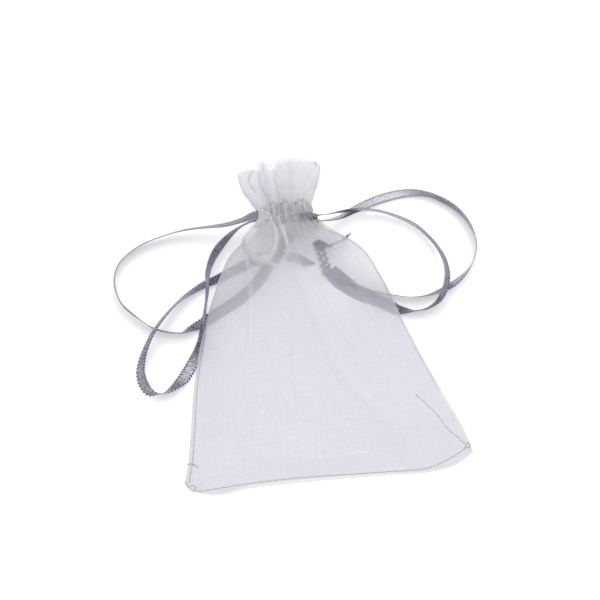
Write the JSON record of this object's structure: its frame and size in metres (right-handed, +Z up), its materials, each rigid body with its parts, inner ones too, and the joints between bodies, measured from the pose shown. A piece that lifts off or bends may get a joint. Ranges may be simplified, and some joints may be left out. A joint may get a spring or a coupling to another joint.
{
  "type": "drawstring gift pouch",
  "caption": "Small sheer organza pouch lying flat on its back, its neck gathered by two satin ribbon drawstrings looped out at either side.",
  "frame": {"origin": "centre of the pouch cloth's bounding box on the table that it lies on, with the free ribbons left out", "axes": "+Y from the bottom seam to the mouth, +X to the right seen from the front, +Z up out of the front panel"},
  "size_m": [0.0953, 0.0925, 0.0094],
  "materials": {
    "organza": "sheer woven organza with a faint sparkle",
    "stitching": "fine matt sewing thread",
    "satin_ribbon": "soft satin with a fine twill and toothed edges"
  },
  "bodies": {
    "pouch": {"front_panel": "organza", "back_panel": "organza", "front_hem": "organza", "back_hem": "organza", "left_side_seam": "stitching", "right_side_seam": "stitching", "left_header_seam": "stitching", "right_header_seam": "stitching", "bottom_seam": "stitching", "front_upper_casing_stitch": "stitching", "front_lower_casing_stitch": "stitching", "back_upper_casing_stitch": "stitching", "back_lower_casing_stitch": "stitching"},
    "left_drawstring": {"left_ribbon_run": "satin_ribbon", "left_strand_a": "satin_ribbon", "left_strand_b": "satin_ribbon", "left_knot": "satin_ribbon", "left_tail_a": "satin_ribbon", "left_tail_b": "satin_ribbon"},
    "right_drawstring": {"right_ribbon_run": "satin_ribbon", "right_strand_c": "satin_ribbon", "right_strand_d": "satin_ribbon", "right_knot": "satin_ribbon", "right_tail_c": "satin_ribbon", "right_tail_d": "satin_ribbon"}
  },
  "joints": [
    {"name": "left_drawstring_pull", "type": "slide", "parent": "pouch", "child": "left_drawstring", "axis": [-1, 0, 0], "range_m": [0, 0.004], "deforming": ["left_ribbon_run"]},
    {"name": "right_drawstring_pull", "type": "slide", "parent": "pouch", "child": "right_drawstring", "axis": [1, 0, 0], "range_m": [0, 0.004], "deforming": ["right_ribbon_run"]}
  ]
}
